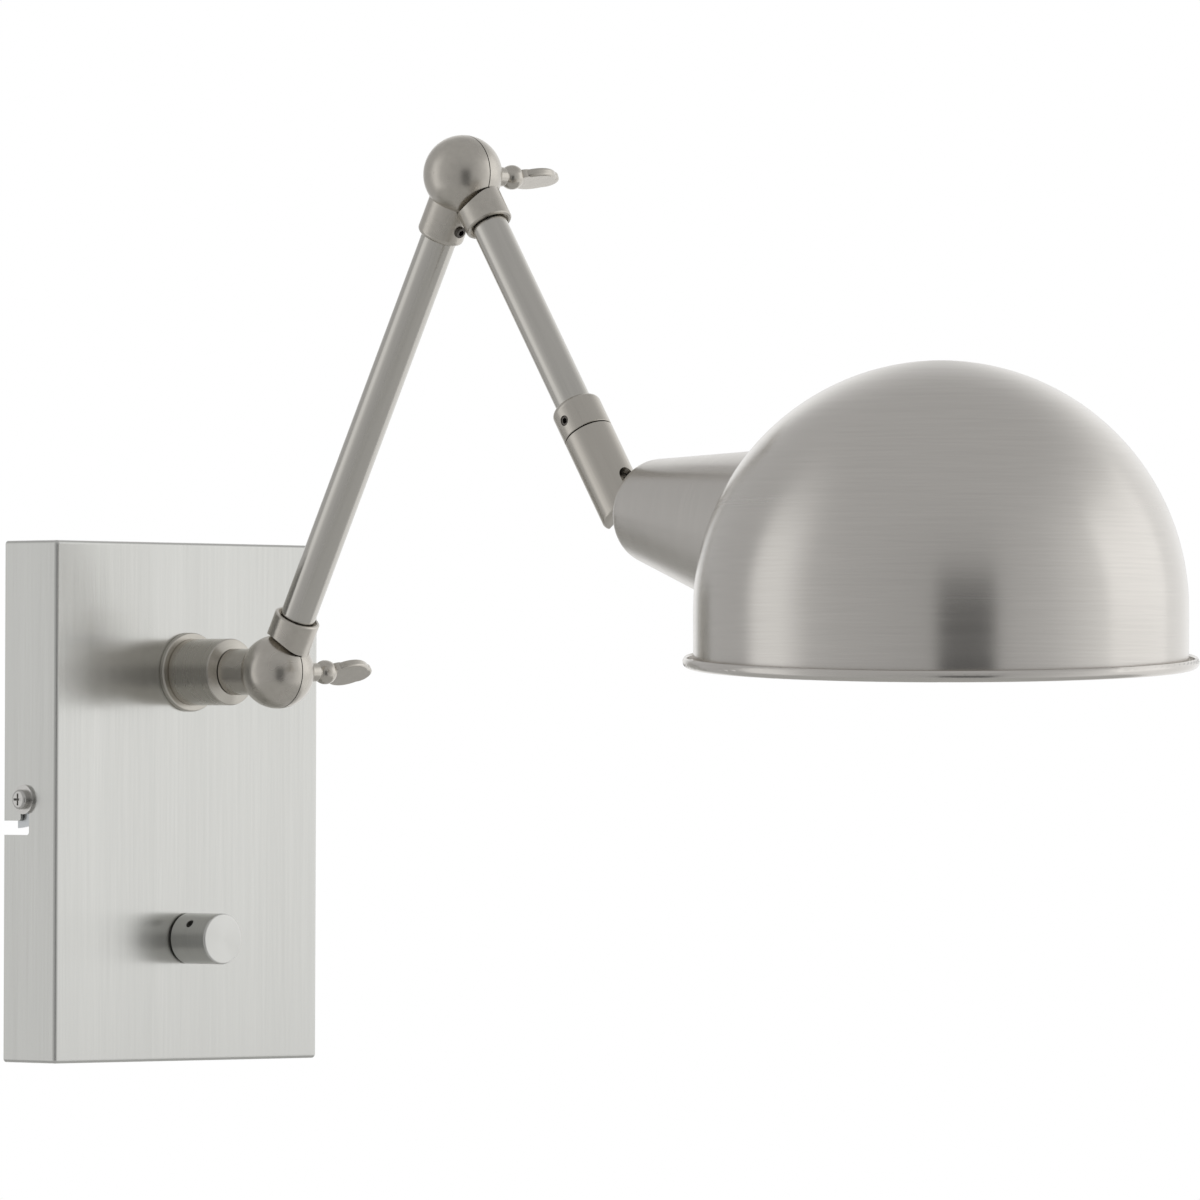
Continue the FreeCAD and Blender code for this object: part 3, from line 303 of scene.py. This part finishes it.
# ---- Side screws: nickel plated pan heads with a cross recess, each on a plain washer. The earth
# screw on the strap is green, as earth screws are.
screw_tone = (0.60, 0.59, 0.57)
plated = brushed("screw_nickel", no_turn, no_lines, fine=600, tone=screw_tone, dull=0.26)
finish(plated, "canopy_screws", "canopy_screw_washers")
skin_scale = 900
skin_spread = 0.08
skin_relief, skin_depth = 0.1, 0.0003


def moulded(name, colour, dull):
    """A moulded plastic or a thick paint, with a faint uneven skin."""
    made, tree, shader = new_material(name)
    place = tree.nodes.new("ShaderNodeTexCoord")
    skin = tree.nodes.new("ShaderNodeTexNoise")
    skin.inputs["Scale"].default_value = skin_scale
    tree.links.new(place.outputs["Object"], skin.inputs["Vector"])
    spread = tree.nodes.new("ShaderNodeMapRange")
    spread.inputs["To Min"].default_value = dull - skin_spread
    spread.inputs["To Max"].default_value = dull + skin_spread
    tree.links.new(skin.outputs["Fac"], spread.inputs["Value"])
    tree.links.new(spread.outputs["Result"], shader.inputs["Roughness"])
    bump = tree.nodes.new("ShaderNodeBump")
    bump.inputs["Strength"].default_value = skin_relief
    bump.inputs["Distance"].default_value = skin_depth
    tree.links.new(skin.outputs["Fac"], bump.inputs["Height"])
    tree.links.new(bump.outputs["Normal"], shader.inputs["Normal"])
    shader.inputs["Base Color"].default_value = (*colour, 1)
    return made


earth_green = (0.06, 0.25, 0.10)
finish(moulded("green_earth_screw", earth_green, dull=0.35), "earth_screw")

# ---- Dimmer: a moulded case behind the canopy's face, held by a nut on its bushing. The knob is
# turned from bar, brushed round its side, and clamped to the shaft by a small black grub screw.
case_black = (0.05, 0.05, 0.055)
steel_tone = (0.50, 0.49, 0.47)
blackened_tone = (0.13, 0.12, 0.11)
shaft_lines = (0.05, 1, 0.05)
lines_round_y = (0.04, 1, 0.04)
finish(moulded("dimmer_case", case_black, dull=0.45), "dimmer_body")
finish(zinc, "dimmer_nut")
turned_steel = brushed("turned_steel", no_turn, shaft_lines, fine=700, tone=steel_tone, dull=0.30)
finish(turned_steel, "dimmer_shaft")
finish(brushed("knob_nickel", no_turn, lines_round_y, fine=900, tone=plate_tone, dull=0.30,
               shine=("Y", 0.5, True)), "dimmer_knob")
dark_steel = brushed("blackened_steel", no_turn, no_lines, fine=600, tone=blackened_tone, dull=0.35)
finish(dark_steel, "knob_set_screw")

# ---- Post: a flange and a barrel turned from bar and brushed round, held through the canopy by a
# threaded nipple with a toothed washer and a hexagon nut.
# This nickel is darker and warmer than the sheet's. Part of the darkening is painted shade: it stands in for
# the shade in the crevices between flange, barrel and ball.
turned_tone_with_painted_shade = (0.55, 0.525, 0.475)
finish(brushed("post_nickel", no_turn, lines_round_y, fine=900, tone=turned_tone_with_painted_shade, dull=0.27,
               shine=("Y", 0.5, True)), "post_flange", "post_barrel")
finish(zinc, "post_nipple", "post_lock_washer", "post_lock_nut")

# ---- Ball joints: each ball is two cast halves, one on each side of the joint, tumbled smooth and
# nickel plated, with a thin black washer between them. A clip keeps the lower ball's neck in the post.
# This nickel is darker and warmer than the sheet's. Part of the darkening is painted shade: it stands in for
# the shade in the seams and crevices of the balls, thumb screws and head joint.
cast_tone_with_painted_shade = (0.57, 0.54, 0.49)
nylon_black = (0.02, 0.02, 0.02)
cast_nickel = brushed("ball_nickel", no_turn, no_lines, fine=420, tone=cast_tone_with_painted_shade, dull=0.27, contrast=0.22,
                      relief=0.03)
finish(cast_nickel, "swivel_knuckle", "lower_arm_cap", "elbow_knuckle", "upper_arm_cap")
finish(moulded("black_nylon", nylon_black, dull=0.5), "swivel_washer", "lower_friction_washer",
       "elbow_friction_washer")
finish(zinc, "swivel_clip")
finish(dark_steel, "elbow_set_screw")

# ---- Thumb screws: an oval paddle forged on a turned stem, nickel plated, which clamps the halves
# of its ball together.
finish(brushed("thumb_screw_nickel", no_turn, no_lines, fine=500, tone=cast_tone_with_painted_shade, dull=0.22, contrast=0.20,
               relief=0.03), "lower_thumb_screw", "elbow_thumb_screw")

# ---- Arm tubes: drawn steel tube, nickel plated and brushed along its length. The head's sleeve and
# knuckle are turned from bar and brushed the same way. The leans are the arms' own, from upright.
lower_lean = math.radians(28.5)
upper_lean = math.radians(-33.84)
lengthwise = (1, 1, 0.03)
tube_tone = (0.60, 0.58, 0.54)
finish(brushed("lower_tube_nickel", (lower_lean, 0, 0), lengthwise, fine=900, tone=tube_tone, dull=0.20),
       "lower_arm_tube")
finish(brushed("upper_tube_nickel", (upper_lean, 0, 0), lengthwise, fine=900, tone=tube_tone, dull=0.20),
       "upper_arm_tube")
finish(brushed("head_joint_nickel", (upper_lean, 0, 0), lengthwise, fine=700, tone=cast_tone_with_painted_shade, dull=0.24),
       "head_sleeve", "head_knuckle")
finish(dark_steel, "head_sleeve_set_screw")

# ---- Head hinge: a flat steel tongue in the knuckle's slot, on a screw across it, with a nut that
# holds the cup.
finish(plated, "head_pivot_screw", "hinge_tongue")
finish(zinc, "tongue_nut")

# ---- Cup: spun from sheet, nickel plated and brushed round its axis. It hides the lampholder.
spun_tone = (0.665, 0.64, 0.605)
finish(brushed("cup_nickel", no_turn, lines_round_y, fine=1300, tone=spun_tone, dull=0.24, contrast=0.12,
               shine=("Y", 0.6, True)), "socket_cup")

# ---- Lampholder: a moulded body with a brass screw shell and a sprung brass contact. A moulded
# ring nut clamps the shade on it.
holder_black = (0.03, 0.028, 0.025)
brass_tone = (0.78, 0.60, 0.30)
finish(moulded("phenolic", holder_black, dull=0.3), "lampholder_body", "shade_ring")
finish(brushed("holder_brass", no_turn, lines_round_y, fine=500, tone=brass_tone, dull=0.26),
       "lampholder_screw_shell", "lampholder_contact")

# ---- Shade: a dome spun from sheet with a rolled rim, nickel plated and brushed round and round,
# so that the lines lie level and reflections are drawn out upright.
level_lines = (0.02, 0.02, 1)
finish(brushed("shade_nickel", no_turn, level_lines, fine=1700, tone=spun_tone, dull=0.25, contrast=0.13,
               shine=("Z", 0.75, True)), "shade")
